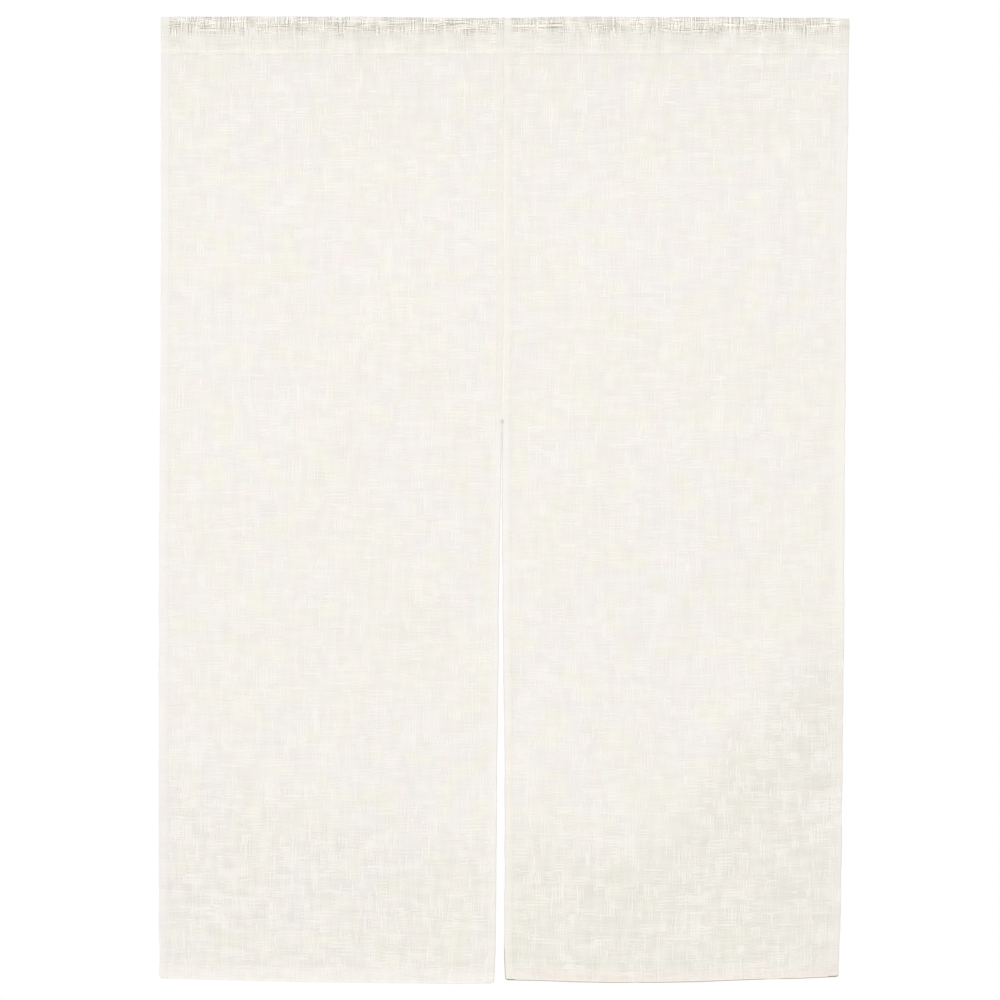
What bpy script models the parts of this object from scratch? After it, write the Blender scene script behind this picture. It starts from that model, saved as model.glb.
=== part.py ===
"""Noren curtain: two hemmed panels of slub cloth, sewn edge to edge at the top of their meeting sides and free below,
each with its top folded to the back and stitched down as a rod pocket.

Metres, +Z up. The front faces -Y. The origin is on the top edge at the centre seam, over the middle of the rod pocket.
Each panel is one sheet: its outer face runs from the bottom hem up the front, round the pocket and down the back flap,
and Solidify gives it its thickness towards the inside, with more at the turned hems.
"""

import math

import bmesh
import bpy

MM = 0.001

# ---------------------------------------------------------------- driving sizes, in millimetres
HEIGHT = 1194.0  # top edge to the usual bottom edge
POCKET_DEPTH = 46.0  # top edge to the line that sews the pocket shut
FLAP_END = 48.6  # top edge to the folded lower edge of the back flap
POCKET_RADIUS = 9.5  # outer radius of the cloth where it goes over a rod
CLOTH = 1.0  # thickness of the single cloth
HEM_CLOTH = 1.8  # thickness of a turned hem
STACK = 4.2  # thickness of front, turned end and flap where they are sewn together
SIDE_HEM = 11.0  # width of the outer side hems
SLIT_HEM = 9.5  # width of the hems at the seam and the slit
BOTTOM_HEM = 17.0  # depth of the bottom hem
HEM_STEP = 0.8  # width over which a hem's thickness runs out
TURNED_END = 8.0  # height of the flap's turned-in end, between flap and front
GAP = 0.3  # left between the two panels along their seam
SEAM_END = 504.3  # top edge to the top of the slit

ARC_STEPS = 9  # flat faces round the top of the pocket
INNER_COLUMNS = 11  # columns of the sheet between its hems
BODY_ROWS = 30  # rows of the front between pocket and bottom hem

FRONT_FACE_Y = -STACK / 2  # plane of the front where it leaves the pocket
BACK_FACE_Y = STACK / 2  # plane of the flap's outer face where it is sewn down
ARC_Z = -POCKET_RADIUS  # height of the pocket's centre

# ---------------------------------------------------------------- outline, in millimetres below the top edge and from the centre seam
# depth below the top edge, outer edge of the left panel, outer edge of the right panel
SIDE_EDGES = (
    # depth, left, right
    (0.0, -423.6, 427.6),
    (110.0, -423.9, 426.6),
    (250.0, -423.6, 424.6),
    (350.0, -424.0, 423.5),
    (720.0, -426.2, 421.3),
    (1000.0, -426.4, 418.9),
    (1110.0, -426.2, 417.3),
    (1194.0, -425.8, 414.8),
)
# depth below the top edge, the two edges that meet at the seam and part at the slit
SLIT_EDGES = (
    # depth, left panel, right panel
    (0.0, -GAP / 2, GAP / 2),
    (390.0, -GAP / 2, GAP / 2),
    (SEAM_END, -2.1 - GAP / 2, -2.1 + GAP / 2),
    (573.0, -3.2, -1.9),
    (653.0, -4.8, -1.5),
    (746.0, -6.2, -0.7),
    (800.0, -6.1, -0.3),
    (839.0, -6.9, 0.5),
    (913.0, -7.9, 1.5),
    (1006.0, -8.3, 1.6),
    (1060.0, -9.0, 1.5),
    (1154.0, -9.7, 0.8),
    (1194.0, -11.6, 1.9),
)
# share of the panel's width from its left edge, how far the bottom edge hangs
BOTTOM_LEFT = (
    # share, depth
    (0.0, 1190.0),
    (0.12, 1191.2),
    (0.27, 1193.2),
    (0.45, 1194.6),
    (0.72, 1195.8),
    (0.88, 1196.9),
    (1.0, 1196.0),
)
BOTTOM_RIGHT = (
    # share, depth
    (0.0, 1192.6),
    (0.1, 1193.3),
    (0.2, 1194.9),
    (0.3, 1195.6),
    (0.45, 1195.7),
    (0.58, 1194.9),
    (0.73, 1192.2),
    (0.87, 1190.9),
    (1.0, 1189.0),
)
# how far the top edge dips where the cloth settles on the rod
TOP_DIP = (
    # x, dip
    (-424.0, 0.5),
    (-390.0, 0.0),
    (-190.0, 0.0),
    (-115.0, 0.9),
    (-48.0, 1.6),
    (22.0, 1.5),
    (75.0, 0.1),
    (110.0, 0.0),
    (175.0, 0.55),
    (285.0, 0.35),
    (360.0, 1.6),
    (392.0, 1.1),
    (428.0, 2.6),
)

# ---------------------------------------------------------------- how it hangs, in millimetres
# Belly of each panel: depth below the top edge, how far the cloth stands forward (+) or back (-) at its outer side, middle and slit side
BELLY_LEFT = (
    # depth, outer, middle, slit
    (0.0, 0.0, 0.0, 0.0),
    (60.0, 0.0, 0.0, 0.0),
    (260.0, 0.4, -1.2, 0.0),
    (460.0, 1.6, 1.4, 0.6),
    (660.0, 2.6, 4.2, 2.0),
    (860.0, 2.8, 4.6, 4.4),
    (1040.0, 1.6, 2.6, 5.0),
    (1196.0, -0.6, 0.4, 3.6),
)
BELLY_RIGHT = (
    # depth, slit, middle, outer
    (0.0, 0.0, 0.0, 0.0),
    (60.0, 0.0, 0.0, 0.0),
    (260.0, 0.0, 0.6, -0.8),
    (460.0, 0.6, 2.8, 0.6),
    (660.0, 1.4, 4.8, 2.8),
    (860.0, 1.0, 5.2, 2.2),
    (1040.0, 0.2, 3.0, -1.6),
    (1196.0, -0.8, -0.6, -3.4),
)
# Long soft creases over the belly, each a line with a rounded ridge (+) or trough (-) that dies away to both ends
CREASES = (
    # x at top, depth at top, x at foot, depth at foot, half width, height
    (-418.0, 590.0, -262.0, 712.0, 46.0, -1.5),
    (-300.0, 90.0, -330.0, 640.0, 55.0, 0.9),
    (-150.0, 240.0, -90.0, 640.0, 52.0, 1.4),
    (-205.0, 760.0, -170.0, 1190.0, 48.0, 1.3),
    (-70.0, 800.0, -60.0, 1190.0, 40.0, -1.1),
    (120.0, 180.0, 95.0, 700.0, 50.0, 1.2),
    (415.0, 680.0, 175.0, 1060.0, 50.0, 1.7),
    (300.0, 120.0, 335.0, 560.0, 55.0, -0.9),
    (90.0, 900.0, 120.0, 1190.0, 45.0, 1.2),
    (330.0, 960.0, 345.0, 1190.0, 42.0, 1.2),
)

COLOURS = {
    # node: colour, roughness, metallic
    "panel_left": ((0.905, 0.875, 0.800, 1.0), 0.9, 0.0),
    "panel_right": ((0.900, 0.868, 0.790, 1.0), 0.9, 0.0),
}


# ---------------------------------------------------------------- reading the tables
def eased(table, at, column=1):
    """The table's value at a place, eased from row to row so that the cloth has no kinks."""
    if at <= table[0][0]:
        return table[0][column]
    for low, high in zip(table, table[1:]):
        if at <= high[0]:
            share = (at - low[0]) / (high[0] - low[0])
            share = share * share * (3 - 2 * share)
            return low[column] + (high[column] - low[column]) * share
    return table[-1][column]


def straight(table, at, column=1):
    """The table's value at a place, along straight lines from row to row."""
    if at <= table[0][0]:
        return table[0][column]
    for low, high in zip(table, table[1:]):
        if at <= high[0]:
            return low[column] + (high[column] - low[column]) * (at - low[0]) / (high[0] - low[0])
    return table[-1][column]


def belly(table, share, depth):
    """How far forward the cloth stands at a share of the panel's width: a smooth arch through the row's three values."""
    a, b, c = (eased(table, depth, column) for column in (1, 2, 3))
    return a * (1 - share) * (1 - 2 * share) + b * 4 * share * (1 - share) + c * share * (2 * share - 1)


def creases(x, depth):
    """Sum of the long creases at a place."""
    total = 0.0
    for x0, d0, x1, d1, half, height in CREASES:
        run = math.hypot(x1 - x0, d1 - d0)
        along = ((x - x0) * (x1 - x0) + (depth - d0) * (d1 - d0)) / run
        across = ((x - x0) * (d1 - d0) - (depth - d0) * (x1 - x0)) / run
        share = min(max(along / run, -0.25), 1.25)
        fade = math.sin(math.pi * (share + 0.25) / 1.5) ** 2
        total += height * fade * math.exp(-((across / half) ** 2))
    return total


def hang(panel, x, share, depth):
    """How far forward of the pocket's plane the front face stands."""
    free = min(max((depth - 52.0) / 130.0, 0.0), 1.0)
    return belly(panel["belly"], share, depth) + creases(x, depth) * free * free * (3 - 2 * free)


PANELS = (
    {
        "name": "panel_left",
        "left": lambda depth: eased(SIDE_EDGES, depth, 1),
        "right": lambda depth: straight(SLIT_EDGES, depth, 1),
        "left_hem": SIDE_HEM,
        "right_hem": SLIT_HEM,
        "bottom": BOTTOM_LEFT,
        "belly": BELLY_LEFT,
    },
    {
        "name": "panel_right",
        "left": lambda depth: straight(SLIT_EDGES, depth, 2),
        "right": lambda depth: eased(SIDE_EDGES, depth, 2),
        "left_hem": SLIT_HEM,
        "right_hem": SIDE_HEM,
        "bottom": BOTTOM_RIGHT,
        "belly": BELLY_RIGHT,
    },
)


# ---------------------------------------------------------------- the sheet's outer face
def columns(panel):
    """(distance from the left edge, distance from the right edge or None, share of the inner width, hem weight) for each column."""
    found = [("left", 0.0, 1.0), ("left", panel["left_hem"], 1.0)]
    found += [("inner", (i + 0.0) / (INNER_COLUMNS - 1), 0.0) for i in range(INNER_COLUMNS)]
    found += [("right", panel["right_hem"], 1.0), ("right", 0.0, 1.0)]
    return found


def column_x(panel, column, depth):
    """X of a column at a depth: hem lines keep their distance from the edge, the others share the width between them."""
    side, value, _ = column
    left, right = panel["left"](depth), panel["right"](depth)
    if side == "left":
        return left + value
    if side == "right":
        return right - value
    first, last = left + panel["left_hem"] + HEM_STEP, right - panel["right_hem"] - HEM_STEP
    return first + (last - first) * value


def rows(panel):
    """The stations of the sheet's outer face, from the bottom edge up the front, over the pocket and down the flap: (kind, value, hem weight)."""
    found = [("hem", 0.0, 1.0), ("hem", BOTTOM_HEM / 2, 1.0), ("hem", BOTTOM_HEM, 1.0)]
    found += [("body", i / BODY_ROWS, 0.0) for i in range(BODY_ROWS + 1)]
    found += [("sewn_front", 0.0, 0.0)]
    found += [("arc", i / ARC_STEPS, 0.0) for i in range(ARC_STEPS + 1)]
    found += [("flap", 0.5, 0.0), ("sewn_back", 0.0, 0.0), ("flap_end", 0.0, 0.0)]
    return found


def tangent_angle():
    """Angle below the horizontal at which the cloth leaves the rod for the sewn line, the same in front and behind."""
    drop = POCKET_DEPTH - TURNED_END + 2.0 + ARC_Z
    reach = math.hypot(drop, STACK / 2)
    return math.asin(POCKET_RADIUS / reach) - math.atan2(STACK / 2, drop)


def pocket_point(kind, value):
    """(y, z) in millimetres of the outer face in the pocket, before the top edge's dip."""
    a = tangent_angle()
    if kind == "arc":
        # from the front tangent over the top to the back tangent, for a rod centred at y = 0
        angle = (math.pi + a) - (math.pi + 2 * a) * value
        return POCKET_RADIUS * math.cos(angle), ARC_Z + POCKET_RADIUS * math.sin(angle)
    if kind == "sewn_front":
        return FRONT_FACE_Y, -(POCKET_DEPTH - TURNED_END + 2.0)
    if kind == "sewn_back":
        return BACK_FACE_Y, -(POCKET_DEPTH - TURNED_END + 2.0)
    if kind == "flap_end":
        return BACK_FACE_Y, -FLAP_END
    # half way down the flap, between the back tangent and the sewn line
    y0, z0 = pocket_point("arc", 1.0)
    y1, z1 = pocket_point("sewn_back", 0.0)
    return y0 + (y1 - y0) * value, z0 + (z1 - z0) * value


def face_point(panel, row, column):
    """A point of the sheet's outer face, in millimetres."""
    kind, value, _ = row
    if kind in ("hem", "body"):
        x = column_x(panel, column, HEIGHT)
        left, right = panel["left"](HEIGHT), panel["right"](HEIGHT)
        foot = straight(panel["bottom"], (x - left) / (right - left))
        if kind == "hem":
            depth = foot - value
        else:
            first = foot - BOTTOM_HEM - HEM_STEP
            depth = first + (FLAP_END + 2.0 - first) * value
        x = column_x(panel, column, depth)
        share = (x - panel["left"](depth)) / (panel["right"](depth) - panel["left"](depth))
        return x, FRONT_FACE_Y - hang(panel, x, share, depth), -depth
    y, z = pocket_point(kind, value)
    x = column_x(panel, column, -z)
    sink = eased(TOP_DIP, x) * max(0.0, 1.0 + z / (POCKET_DEPTH - TURNED_END))
    return x, y, z - sink


def sheet(panel, collection):
    """The panel's outer face as a grid, made solid with Solidify; the hem group makes the turned hems thicker."""
    down, across = rows(panel), columns(panel)
    body = bmesh.new()
    bmesh.ops.create_grid(body, x_segments=len(across) - 1, y_segments=len(down) - 1, size=1.0)
    body.verts.index_update()
    # The grid's vertices come row by row; each is moved to its place on the sheet
    ordered = sorted(body.verts, key=lambda v: (round(v.co.y, 5), round(v.co.x, 5)))
    hems = []
    for number, vertex in enumerate(ordered):
        row, column = down[number // len(across)], across[number % len(across)]
        x, y, z = face_point(panel, row, column)
        vertex.co = (x * MM, y * MM, z * MM)
        hems.append((vertex.index, max(row[2], column[2])))
    bmesh.ops.recalc_face_normals(body, faces=body.faces)
    # The outer face looks forward on the front of the panel
    middle = min(body.faces, key=lambda f: (f.calc_center_median().z + 0.6) ** 2 + f.calc_center_median().x ** 2 * 0.01)
    if middle.normal.y > 0:
        bmesh.ops.reverse_faces(body, faces=body.faces)
    mesh = bpy.data.meshes.new(panel["name"])
    body.to_mesh(mesh)
    body.free()
    made = bpy.data.objects.new(panel["name"], mesh)
    collection.objects.link(made)
    group = made.vertex_groups.new(name="turned_hem")
    for index, weight in hems:
        group.add([index], CLOTH / HEM_CLOTH + (1 - CLOTH / HEM_CLOTH) * weight, "REPLACE")
    solid = made.modifiers.new("cloth_thickness", "SOLIDIFY")
    solid.thickness = HEM_CLOTH * MM
    solid.offset = -1.0
    solid.use_even_offset = False
    solid.vertex_group = "turned_hem"
    return made


def turned_end(panel, collection):
    """The flap's end, turned in between the flap and the front, which the sewn line holds together."""
    low, high = -(FLAP_END - 0.4), -(FLAP_END - 0.4 - TURNED_END)
    middle = (low + high) / 2
    left, right = panel["left"](-middle) + 1.0, panel["right"](-middle) - 1.0
    near, far = FRONT_FACE_Y + CLOTH - 0.4, BACK_FACE_Y - CLOTH + 0.4
    body = bmesh.new()
    bmesh.ops.create_cube(body, size=1.0)
    for vertex in body.verts:
        vertex.co.x = ((left + right) / 2 + vertex.co.x * (right - left)) * MM
        vertex.co.y = ((near + far) / 2 + vertex.co.y * (far - near)) * MM
        vertex.co.z = (middle + vertex.co.z * (high - low)) * MM
    mesh = bpy.data.meshes.new(panel["name"] + "_turned_end")
    body.to_mesh(mesh)
    body.free()
    made = bpy.data.objects.new(panel["name"] + "_turned_end", mesh)
    collection.objects.link(made)
    made.hide_render = True
    made.display_type = "WIRE"
    return made


def cloth_material(name):
    colour, roughness, metallic = COLOURS[name]
    material = bpy.data.materials.new(name + "_cloth")
    material.use_nodes = True
    shader = material.node_tree.nodes["Principled BSDF"]
    shader.inputs["Base Color"].default_value = colour
    shader.inputs["Roughness"].default_value = roughness
    shader.inputs["Metallic"].default_value = metallic
    return material


def main():
    for old in list(bpy.data.objects):
        bpy.data.objects.remove(old, do_unlink=True)
    parts = bpy.data.collections.new("noren_curtain")
    cutters = bpy.data.collections.new("joining_pieces")
    for collection in (parts, cutters):
        bpy.context.scene.collection.children.link(collection)
    for panel in PANELS:
        made = sheet(panel, parts)
        end = turned_end(panel, cutters)
        join = made.modifiers.new("sewn_pocket", "BOOLEAN")
        join.operation = "UNION"
        join.solver = "EXACT"
        join.object = end
        made.data.materials.append(cloth_material(panel["name"]))
    bpy.context.view_layer.update()


main()
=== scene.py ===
"""Noren curtain: how it looks.

Each panel is one thin folded sheet of slub cloth on its solid's folds: turned twice at the sides and along the bottom, over
at the top and down behind as the rod pocket. On it lie the thick runs of its yarn and the sewing thread. Metres, +Z up,
front towards -Y. The shapes are worked out in millimetres from the same tables as the solids.
"""

import math

import bpy
import numpy as np
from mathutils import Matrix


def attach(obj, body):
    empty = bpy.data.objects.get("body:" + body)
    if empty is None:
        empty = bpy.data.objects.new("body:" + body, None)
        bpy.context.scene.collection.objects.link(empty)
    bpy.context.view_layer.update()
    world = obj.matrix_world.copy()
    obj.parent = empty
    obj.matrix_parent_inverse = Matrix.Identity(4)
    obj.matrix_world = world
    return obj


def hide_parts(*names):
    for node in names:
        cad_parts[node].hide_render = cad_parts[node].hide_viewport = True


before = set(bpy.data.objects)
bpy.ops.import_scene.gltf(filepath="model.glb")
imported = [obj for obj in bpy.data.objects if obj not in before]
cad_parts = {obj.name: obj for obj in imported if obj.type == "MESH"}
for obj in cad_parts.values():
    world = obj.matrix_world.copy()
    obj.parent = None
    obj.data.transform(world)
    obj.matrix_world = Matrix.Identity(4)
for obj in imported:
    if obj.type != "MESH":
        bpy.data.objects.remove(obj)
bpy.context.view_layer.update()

MM = 0.001

# ---------------------------------------------------------------- sizes shared with the solids, in millimetres
HEIGHT = 1194.0
POCKET_DEPTH = 46.0
FLAP_END = 48.6
POCKET_RADIUS = 9.5
STACK = 4.2
SIDE_HEM = 11.0
SLIT_HEM = 9.5
BOTTOM_HEM = 17.0
TURNED_END = 8.0
GAP = 0.3
SEAM_END = 504.3
FRONT_FACE_Y = -STACK / 2
BACK_FACE_Y = STACK / 2
ARC_Z = -POCKET_RADIUS

SIDE_EDGES = (
    # depth, left, right
    (0.0, -423.6, 427.6),
    (110.0, -423.9, 426.6),
    (250.0, -423.6, 424.6),
    (350.0, -424.0, 423.5),
    (720.0, -426.2, 421.3),
    (1000.0, -426.4, 418.9),
    (1110.0, -426.2, 417.3),
    (1194.0, -425.8, 414.8),
)
SLIT_EDGES = (
    # depth, left panel, right panel
    (0.0, -GAP / 2, GAP / 2),
    (390.0, -GAP / 2, GAP / 2),
    (SEAM_END, -2.1 - GAP / 2, -2.1 + GAP / 2),
    (573.0, -3.2, -1.9),
    (653.0, -4.8, -1.5),
    (746.0, -6.2, -0.7),
    (800.0, -6.1, -0.3),
    (839.0, -6.9, 0.5),
    (913.0, -7.9, 1.5),
    (1006.0, -8.3, 1.6),
    (1060.0, -9.0, 1.5),
    (1154.0, -9.7, 0.8),
    (1194.0, -11.6, 1.9),
)
BOTTOM_LEFT = (
    # share, depth
    (0.0, 1190.0),
    (0.12, 1191.2),
    (0.27, 1193.2),
    (0.45, 1194.6),
    (0.72, 1195.8),
    (0.88, 1196.9),
    (1.0, 1196.0),
)
BOTTOM_RIGHT = (
    # share, depth
    (0.0, 1192.6),
    (0.1, 1193.3),
    (0.2, 1194.9),
    (0.3, 1195.6),
    (0.45, 1195.7),
    (0.58, 1194.9),
    (0.73, 1192.2),
    (0.87, 1190.9),
    (1.0, 1189.0),
)
TOP_DIP = (
    # x, dip
    (-424.0, 0.5),
    (-390.0, 0.0),
    (-190.0, 0.0),
    (-115.0, 0.9),
    (-48.0, 1.6),
    (22.0, 1.5),
    (75.0, 0.1),
    (110.0, 0.0),
    (175.0, 0.55),
    (285.0, 0.35),
    (360.0, 1.6),
    (392.0, 1.1),
    (428.0, 2.6),
)
BELLY_LEFT = (
    # depth, outer, middle, slit
    (0.0, 0.0, 0.0, 0.0),
    (60.0, 0.0, 0.0, 0.0),
    (260.0, 0.4, -1.2, 0.0),
    (460.0, 1.6, 1.4, 0.6),
    (660.0, 2.6, 4.2, 2.0),
    (860.0, 2.8, 4.6, 4.4),
    (1040.0, 1.6, 2.6, 5.0),
    (1196.0, -0.6, 0.4, 3.6),
)
BELLY_RIGHT = (
    # depth, slit, middle, outer
    (0.0, 0.0, 0.0, 0.0),
    (60.0, 0.0, 0.0, 0.0),
    (260.0, 0.0, 0.6, -0.8),
    (460.0, 0.6, 2.8, 0.6),
    (660.0, 1.4, 4.8, 2.8),
    (860.0, 1.0, 5.2, 2.2),
    (1040.0, 0.2, 3.0, -1.6),
    (1196.0, -0.8, -0.6, -3.4),
)
CREASES = (
    # x at top, depth at top, x at foot, depth at foot, half width, height
    (-418.0, 590.0, -262.0, 712.0, 46.0, -1.5),
    (-300.0, 90.0, -330.0, 640.0, 55.0, 0.9),
    (-150.0, 240.0, -90.0, 640.0, 52.0, 1.4),
    (-205.0, 760.0, -170.0, 1190.0, 48.0, 1.3),
    (-70.0, 800.0, -60.0, 1190.0, 40.0, -1.1),
    (120.0, 180.0, 95.0, 700.0, 50.0, 1.2),
    (415.0, 680.0, 175.0, 1060.0, 50.0, 1.7),
    (300.0, 120.0, 335.0, 560.0, 55.0, -0.9),
    (90.0, 900.0, 120.0, 1190.0, 45.0, 1.2),
    (330.0, 960.0, 345.0, 1190.0, 42.0, 1.2),
)

# ---------------------------------------------------------------- sizes of the looks only, in millimetres
STEP = 3.3  # distance between the rows and columns of the cloth's mesh
EDGE_FOLD = 0.5  # radius of a side hem's outer fold
TUCK_FOLD = 0.24  # radius of the fold where a hem's cut edge is tucked under
TUCK = 8.0  # width of the cut edge that is tucked inside a side hem
HEM_FOLDS = (0.55, 1.85)  # radius of the bottom hem's outer fold, in single cloth and at a side hem
HEM_TUCKS = (0.28, 1.15)  # the same where its cut edge is tucked
BOTTOM_TUCK = 10.0
FLAP_FOLDS = (0.35, 1.02)  # radius of the fold at the flap's end
PINCH_FRONT, PINCH_BACK = 1.1, 1.35  # how far the pocket's stitching pulls front and flap together
CORNER = 3.4  # radius of the bottom corners
HEM_LIFT = 0.45  # how far the hem's layers push the front of the cloth forward
YARN = 0.9  # distance from yarn to yarn
STITCH = 2.6  # length of one stitch


# ---------------------------------------------------------------- reading the tables, for arrays
def eased(table, at, column=1):
    rows = np.array(table, float)
    keys, values = rows[:, 0], rows[:, column]
    at = np.clip(at, keys[0], keys[-1])
    i = np.clip(np.searchsorted(keys, at, side="right") - 1, 0, len(keys) - 2)
    share = (at - keys[i]) / (keys[i + 1] - keys[i])
    share = share * share * (3 - 2 * share)
    return values[i] + (values[i + 1] - values[i]) * share


def straight(table, at, column=1):
    rows = np.array(table, float)
    return np.interp(at, rows[:, 0], rows[:, column])


def belly(table, share, depth):
    a, b, c = (eased(table, depth, column) for column in (1, 2, 3))
    return a * (1 - share) * (1 - 2 * share) + b * 4 * share * (1 - share) + c * share * (2 * share - 1)


def creases(x, depth):
    total = np.zeros(np.broadcast(x, depth).shape)
    for x0, d0, x1, d1, half, height in CREASES:
        run = math.hypot(x1 - x0, d1 - d0)
        along = ((x - x0) * (x1 - x0) + (depth - d0) * (d1 - d0)) / run
        across = ((x - x0) * (d1 - d0) - (depth - d0) * (x1 - x0)) / run
        share = np.clip(along / run, -0.25, 1.25)
        fade = np.sin(math.pi * (share + 0.25) / 1.5) ** 2
        total += height * fade * np.exp(-((across / half) ** 2))
    return total


def hang(panel, x, share, depth):
    free = np.clip((depth - 52.0) / 130.0, 0.0, 1.0)
    return belly(panel["belly"], share, depth) + creases(x, depth) * free * free * (3 - 2 * free)


PANELS = (
    {
        "name": "panel_left",
        "left": lambda depth: eased(SIDE_EDGES, depth, 1),
        "right": lambda depth: straight(SLIT_EDGES, depth, 1),
        "left_hem": SIDE_HEM,
        "right_hem": SLIT_HEM,
        "slit_side": "right",
        "bottom": BOTTOM_LEFT,
        "belly": BELLY_LEFT,
        "seed": 11,
        # looks only: the painted shade at the foot (slope and start of its edge's rise, its height, how much darker)
        # and how much yellower the foot is, the bottom hem's colour, and how strong the painted dark line is along the
        # outer edge and along the bottom
        "foot_shade": ((-0.19, 80.0), 160.0, 0.024),
        "foot_tint": 0.25,
        "foot_hem": (0.900, 0.862, 0.812),
        "side_shade_line": 0.15,
        # the free slit hem's warmer colour, where it comes in and is full, its share, and how much less of the foot's
        # painted shade it takes
        "slit_hem": ((0.880, 0.858, 0.794), 190.0, 90.0, 0.7, 0.3),
        # the outer side hem's colour at the foot and above it, and how far up it goes
        "outer_hem": ((0.888, 0.863, 0.829), (0.888, 0.864, 0.830), 1110.0),
        "foot_shadow_line": 0.0,
    },
    {
        "name": "panel_right",
        "left": lambda depth: straight(SLIT_EDGES, depth, 2),
        "right": lambda depth: eased(SIDE_EDGES, depth, 2),
        "left_hem": SLIT_HEM,
        "right_hem": SIDE_HEM,
        "slit_side": "left",
        "bottom": BOTTOM_RIGHT,
        "belly": BELLY_RIGHT,
        "seed": 23,
        "foot_shade": ((1.11, -222.0), 170.0, 0.042),
        "foot_tint": 0.7,
        "foot_hem": (0.888, 0.812, 0.738),
        "side_shade_line": 0.36,
        "slit_hem": ((0.892, 0.854, 0.777), 400.0, 200.0, 0.9, 0.7),
        "outer_hem": ((0.904, 0.862, 0.810), (0.903, 0.881, 0.815), 740.0),
        "foot_shadow_line": 1.0,
    },
)


def smooth(at, low, high):
    """0 below low, 1 above high, eased between."""
    share = np.clip((at - low) / (high - low), 0.0, 1.0)
    return share * share * (3 - 2 * share)


class Waves:
    """Soft repeatable unevenness in one or two directions, about -1 to 1."""

    def __init__(self, seed, count=9):
        draw = np.random.default_rng(seed)
        self.turn = draw.uniform(0, 2 * math.pi, count)
        self.rate = draw.uniform(0.55, 1.6, count)
        self.phase = draw.uniform(0, 2 * math.pi, count)
        self.size = draw.uniform(0.5, 1.0, count)
        self.size /= np.sqrt((self.size**2).sum() / 2) * 1.6

    def line(self, at, length):
        total = 0.0
        for rate, phase, size in zip(self.rate, self.phase, self.size):
            total = total + size * np.sin(2 * math.pi * rate * at / length + phase)
        return total

    def field(self, a, b, length_a, length_b):
        total = 0.0
        for turn, rate, phase, size in zip(self.turn, self.rate, self.phase, self.size):
            run = a / length_a * math.cos(turn) + b / length_b * math.sin(turn)
            total = total + size * np.sin(2 * math.pi * rate * run + phase)
        return total


# ---------------------------------------------------------------- the cloth's grid
def side_stations(hem):
    """One side from its tucked cut edge to the hem line on the front: (distance from the edge, distance behind the front, flat distance from the edge)."""
    back = 2 * EDGE_FOLD
    inside = back - 2 * TUCK_FOLD
    found = []
    for dx in np.linspace(hem - TUCK, hem - TUCK_FOLD, 4):
        found.append((dx, inside, -(2 * hem - dx)))
    for angle in np.radians((-45, 0, 45)):
        found.append((hem - TUCK_FOLD + TUCK_FOLD * math.cos(angle), inside + TUCK_FOLD + TUCK_FOLD * math.sin(angle), -hem - 0.2 * (0.7 - angle) / 1.4))
    for dx in np.linspace(hem - TUCK_FOLD, EDGE_FOLD, 5):
        found.append((dx, back, -dx))
    for angle in np.radians((120, 150, 180, 210, 240)):
        found.append((EDGE_FOLD + EDGE_FOLD * math.cos(angle), EDGE_FOLD + EDGE_FOLD * math.sin(angle), EDGE_FOLD * (math.degrees(angle) - 180) / 90))
    for dx in (EDGE_FOLD, 0.35 * hem, 0.7 * hem, hem - 0.5):
        found.append((dx, 0.0, dx))
    return found


def columns(panel):
    """Arrays over the columns: side (0 left, 1 inner, 2 right), distance from the edge or share, distance behind the front, flat coordinate, hem weight."""
    width = float(panel["right"](0.0) - panel["left"](0.0))
    left, right = side_stations(panel["left_hem"]), side_stations(panel["right_hem"])
    inner_width = width - panel["left_hem"] - panel["right_hem"] - 1.6
    count = int(round(inner_width / STEP))
    side, value, behind, flat = [], [], [], []
    for dx, n, s in left:
        side.append(0), value.append(dx), behind.append(n), flat.append(s)
    for i in range(count + 1):
        side.append(1), value.append(i / count), behind.append(0.0), flat.append(panel["left_hem"] + 0.8 + inner_width * i / count)
    for dx, n, s in reversed(right):
        side.append(2), value.append(dx), behind.append(n), flat.append(width - s)
    side, value, behind, flat = map(np.array, (side, value, behind, flat))
    from_left = np.where(side == 0, value, np.where(side == 1, panel["left_hem"] + 0.8 + inner_width * value, 999.0))
    from_right = np.where(side == 2, value, np.where(side == 1, panel["right_hem"] + 0.8 + inner_width * (1 - value), 999.0))
    weight = np.maximum(1 - smooth(from_left, panel["left_hem"], panel["left_hem"] + 7.0), 1 - smooth(from_right, panel["right_hem"], panel["right_hem"] + 7.0))
    return {"side": side, "value": value, "behind": behind, "flat": flat, "weight": weight, "width": width}


def column_x(panel, cols, depth):
    left, right = panel["left"](depth), panel["right"](depth)
    first, last = left + panel["left_hem"] + 0.8, right - panel["right_hem"] - 0.8
    side, value = cols["side"], cols["value"]
    return np.where(side == 0, left + value, np.where(side == 2, right - value, first + (last - first) * value))


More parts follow.
